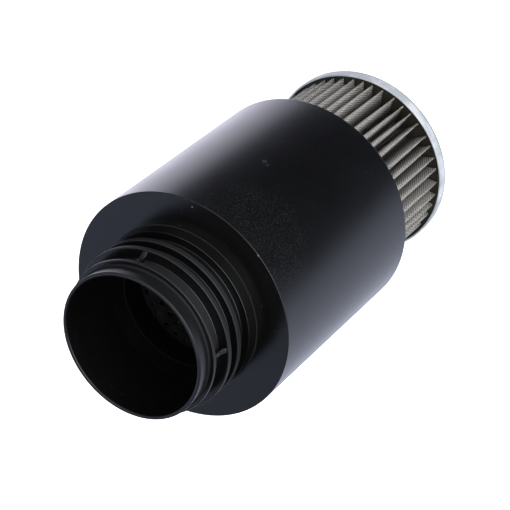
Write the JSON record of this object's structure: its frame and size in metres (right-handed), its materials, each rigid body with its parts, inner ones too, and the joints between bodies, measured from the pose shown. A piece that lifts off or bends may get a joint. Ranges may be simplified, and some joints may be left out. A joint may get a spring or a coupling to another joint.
{
  "type": "tank suction filter",
  "caption": "Round suction filter for a hydraulic tank: a ribbed black neck and skirt over a pleated wire mesh element with a plated steel end cap.",
  "frame": {"origin": "middle of the end cap's underside, on the filter's axis", "axes": "+Z along the axis, from the end cap towards the neck's mouth. +X and +Y each pass through a web of the neck."},
  "size_m": [0.12, 0.12, 0.2254],
  "materials": {
    "housing_plastic": "satin black moulded polyamide, lightly grained and scuffed",
    "wire_cloth": "woven stainless wire cloth, warm grey",
    "tube_steel": "perforated plated sheet steel",
    "plated_steel": "bright zinc plated sheet steel",
    "adhesive": "cured adhesive, dark olive brown"
  },
  "bodies": {
    "root": {"housing": "housing_plastic", "pleated_mesh": "wire_cloth", "perforated_tube": "tube_steel", "end_cap": "plated_steel", "cap_potting": "adhesive", "neck_potting": "adhesive"}
  },
  "joints": []
}
